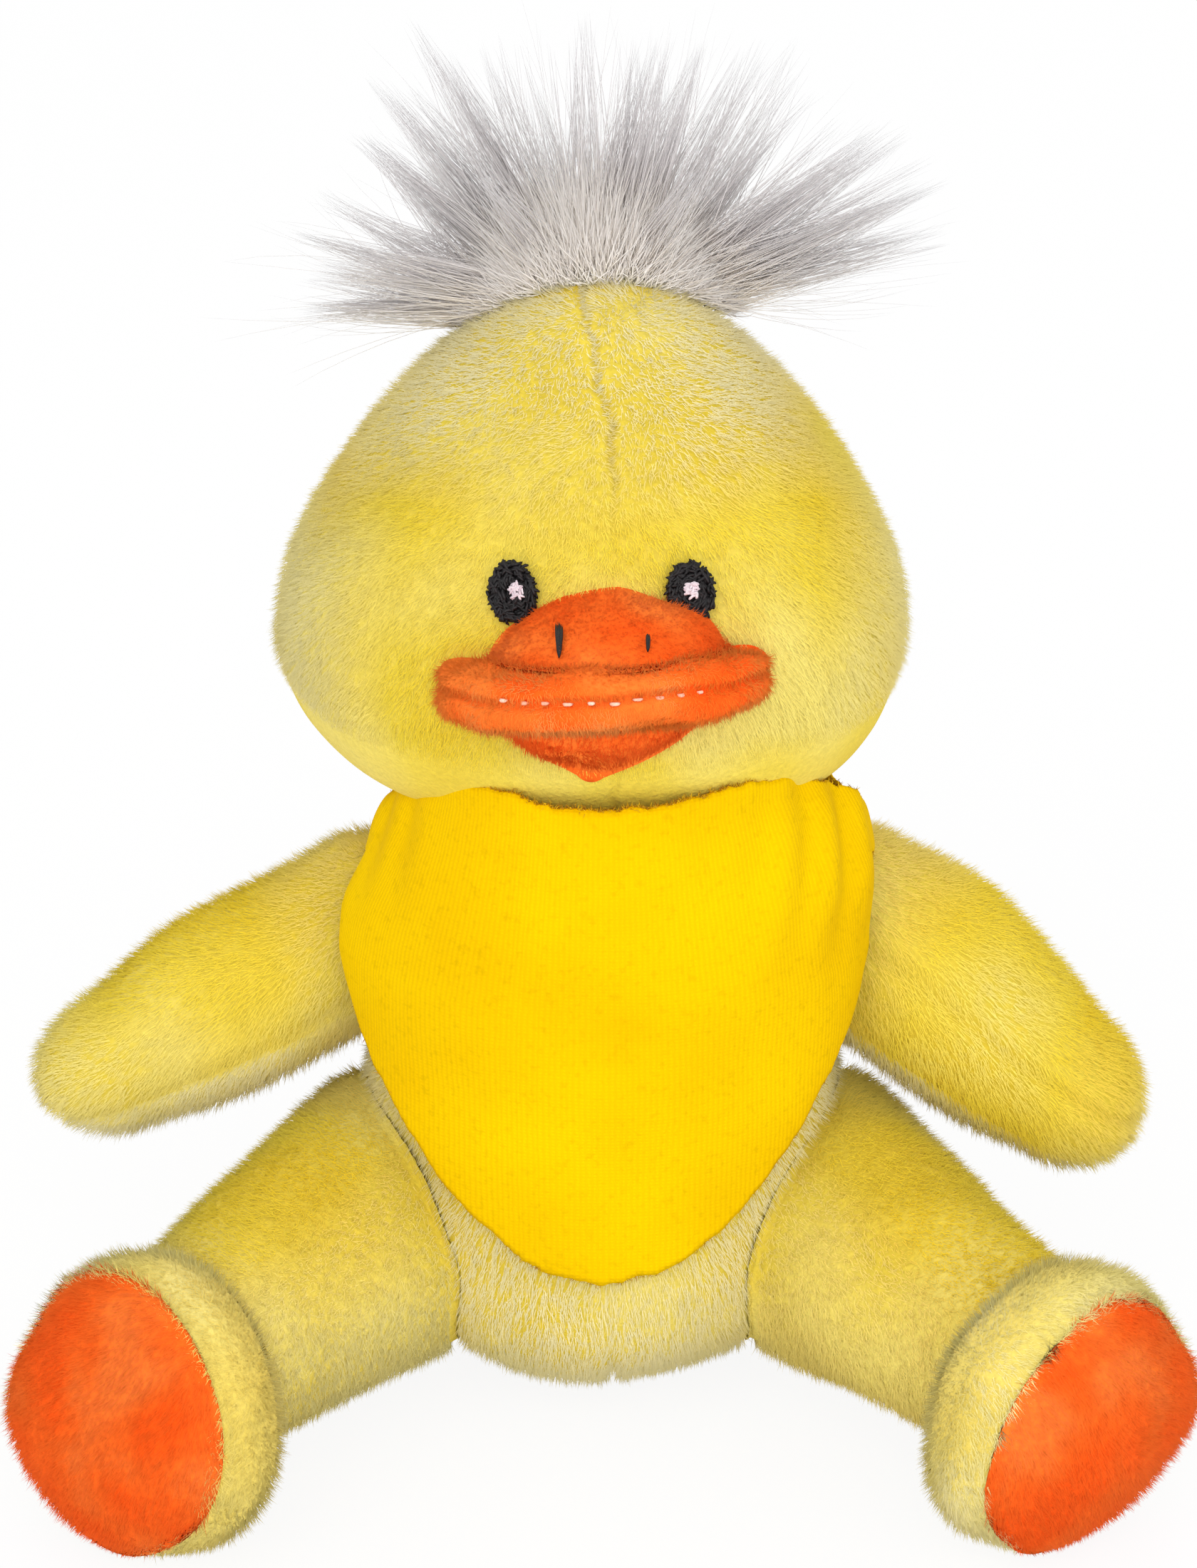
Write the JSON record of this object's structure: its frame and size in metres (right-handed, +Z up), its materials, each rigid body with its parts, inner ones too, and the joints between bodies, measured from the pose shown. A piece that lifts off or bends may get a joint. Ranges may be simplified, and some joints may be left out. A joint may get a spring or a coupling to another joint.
{
  "type": "plush duck",
  "caption": "Seated plush duck with stuffed head, arms and legs, an orange bill and soles, a grey long-pile tuft and a yellow bandana.",
  "frame": {"origin": "middle of the flat seat, on the surface that the duck sits on", "axes": "+Z up, -Y the way the duck faces, +X to its own left side"},
  "size_m": [0.1509, 0.1041, 0.1832],
  "materials": {
    "yellow_plush": "short yellow plush pile",
    "pale_plush": "paler short plush pile, nap the other way",
    "orange_plush": "short orange plush pile",
    "bandana_knit": "thin matt knit",
    "grey_pile": "long silky faux fur",
    "black_thread": "satin-stitched thread",
    "white_thread": "satin-stitched thread",
    "pale_thread": "sewing thread",
    "fibre": "polyester fibre filling",
    "pellet_bag": "woven bag of plastic pellets"
  },
  "bodies": {
    "torso": {"torso_front_left": "yellow_plush", "torso_front_right": "yellow_plush", "torso_back": "yellow_plush", "torso_stuffing": "fibre", "pellet_pouch": "pellet_bag", "bandana": "bandana_knit", "bandana_tack_stitch": "pale_thread"},
    "head": {"head_front_left": "yellow_plush", "head_front_right": "yellow_plush", "head_back": "yellow_plush", "head_stuffing": "fibre", "bill_upper": "orange_plush", "bill_lip": "orange_plush", "bill_lower": "orange_plush", "bill_stuffing": "fibre", "bill_topstitch": "pale_thread", "nostril_left": "black_thread", "nostril_right": "black_thread", "eye_left": "black_thread", "eye_right": "black_thread", "eye_highlight_left": "white_thread", "eye_highlight_right": "white_thread", "tuft": "grey_pile"},
    "arm_left": {"arm_left_upper": "yellow_plush", "arm_left_lower": "pale_plush", "arm_left_stuffing": "fibre"},
    "arm_right": {"arm_right_upper": "yellow_plush", "arm_right_lower": "pale_plush", "arm_right_stuffing": "fibre"},
    "leg_left": {"leg_left_skin": "yellow_plush", "leg_left_stuffing": "fibre", "foot_left_upper": "pale_plush", "foot_left_sole": "orange_plush", "foot_left_stuffing": "fibre"},
    "leg_right": {"leg_right_skin": "yellow_plush", "leg_right_stuffing": "fibre", "foot_right_upper": "pale_plush", "foot_right_sole": "orange_plush", "foot_right_stuffing": "fibre"}
  },
  "joints": [
    {"name": "neck_turn", "type": "hinge", "parent": "torso", "child": "head", "pos_m": [0, 0, 0.07795], "axis": [0, 0, 1], "range_deg": [-15, 15], "stiffness_Nm_per_rad": 0.1},
    {"name": "shoulder_left", "type": "hinge", "parent": "torso", "child": "arm_left", "pos_m": [0.03, 0.002, 0.061], "axis": [-0.1908, -0.9816, 0], "range_deg": [-3, 35], "stiffness_Nm_per_rad": 0.06},
    {"name": "shoulder_right", "type": "hinge", "parent": "torso", "child": "arm_right", "pos_m": [-0.03, 0.002, 0.061], "axis": [-0.1908, 0.9816, 0], "range_deg": [-3, 35], "stiffness_Nm_per_rad": 0.06},
    {"name": "hip_left", "type": "hinge", "parent": "torso", "child": "leg_left", "pos_m": [0.025, -0.004, 0.024], "axis": [0.0308, -0.0423, 0.9986], "range_deg": [-5, 15], "stiffness_Nm_per_rad": 0.06},
    {"name": "hip_right", "type": "hinge", "parent": "torso", "child": "leg_right", "pos_m": [-0.025, -0.004, 0.024], "axis": [0.0308, 0.0423, -0.9986], "range_deg": [-5, 15], "stiffness_Nm_per_rad": 0.06}
  ]
}
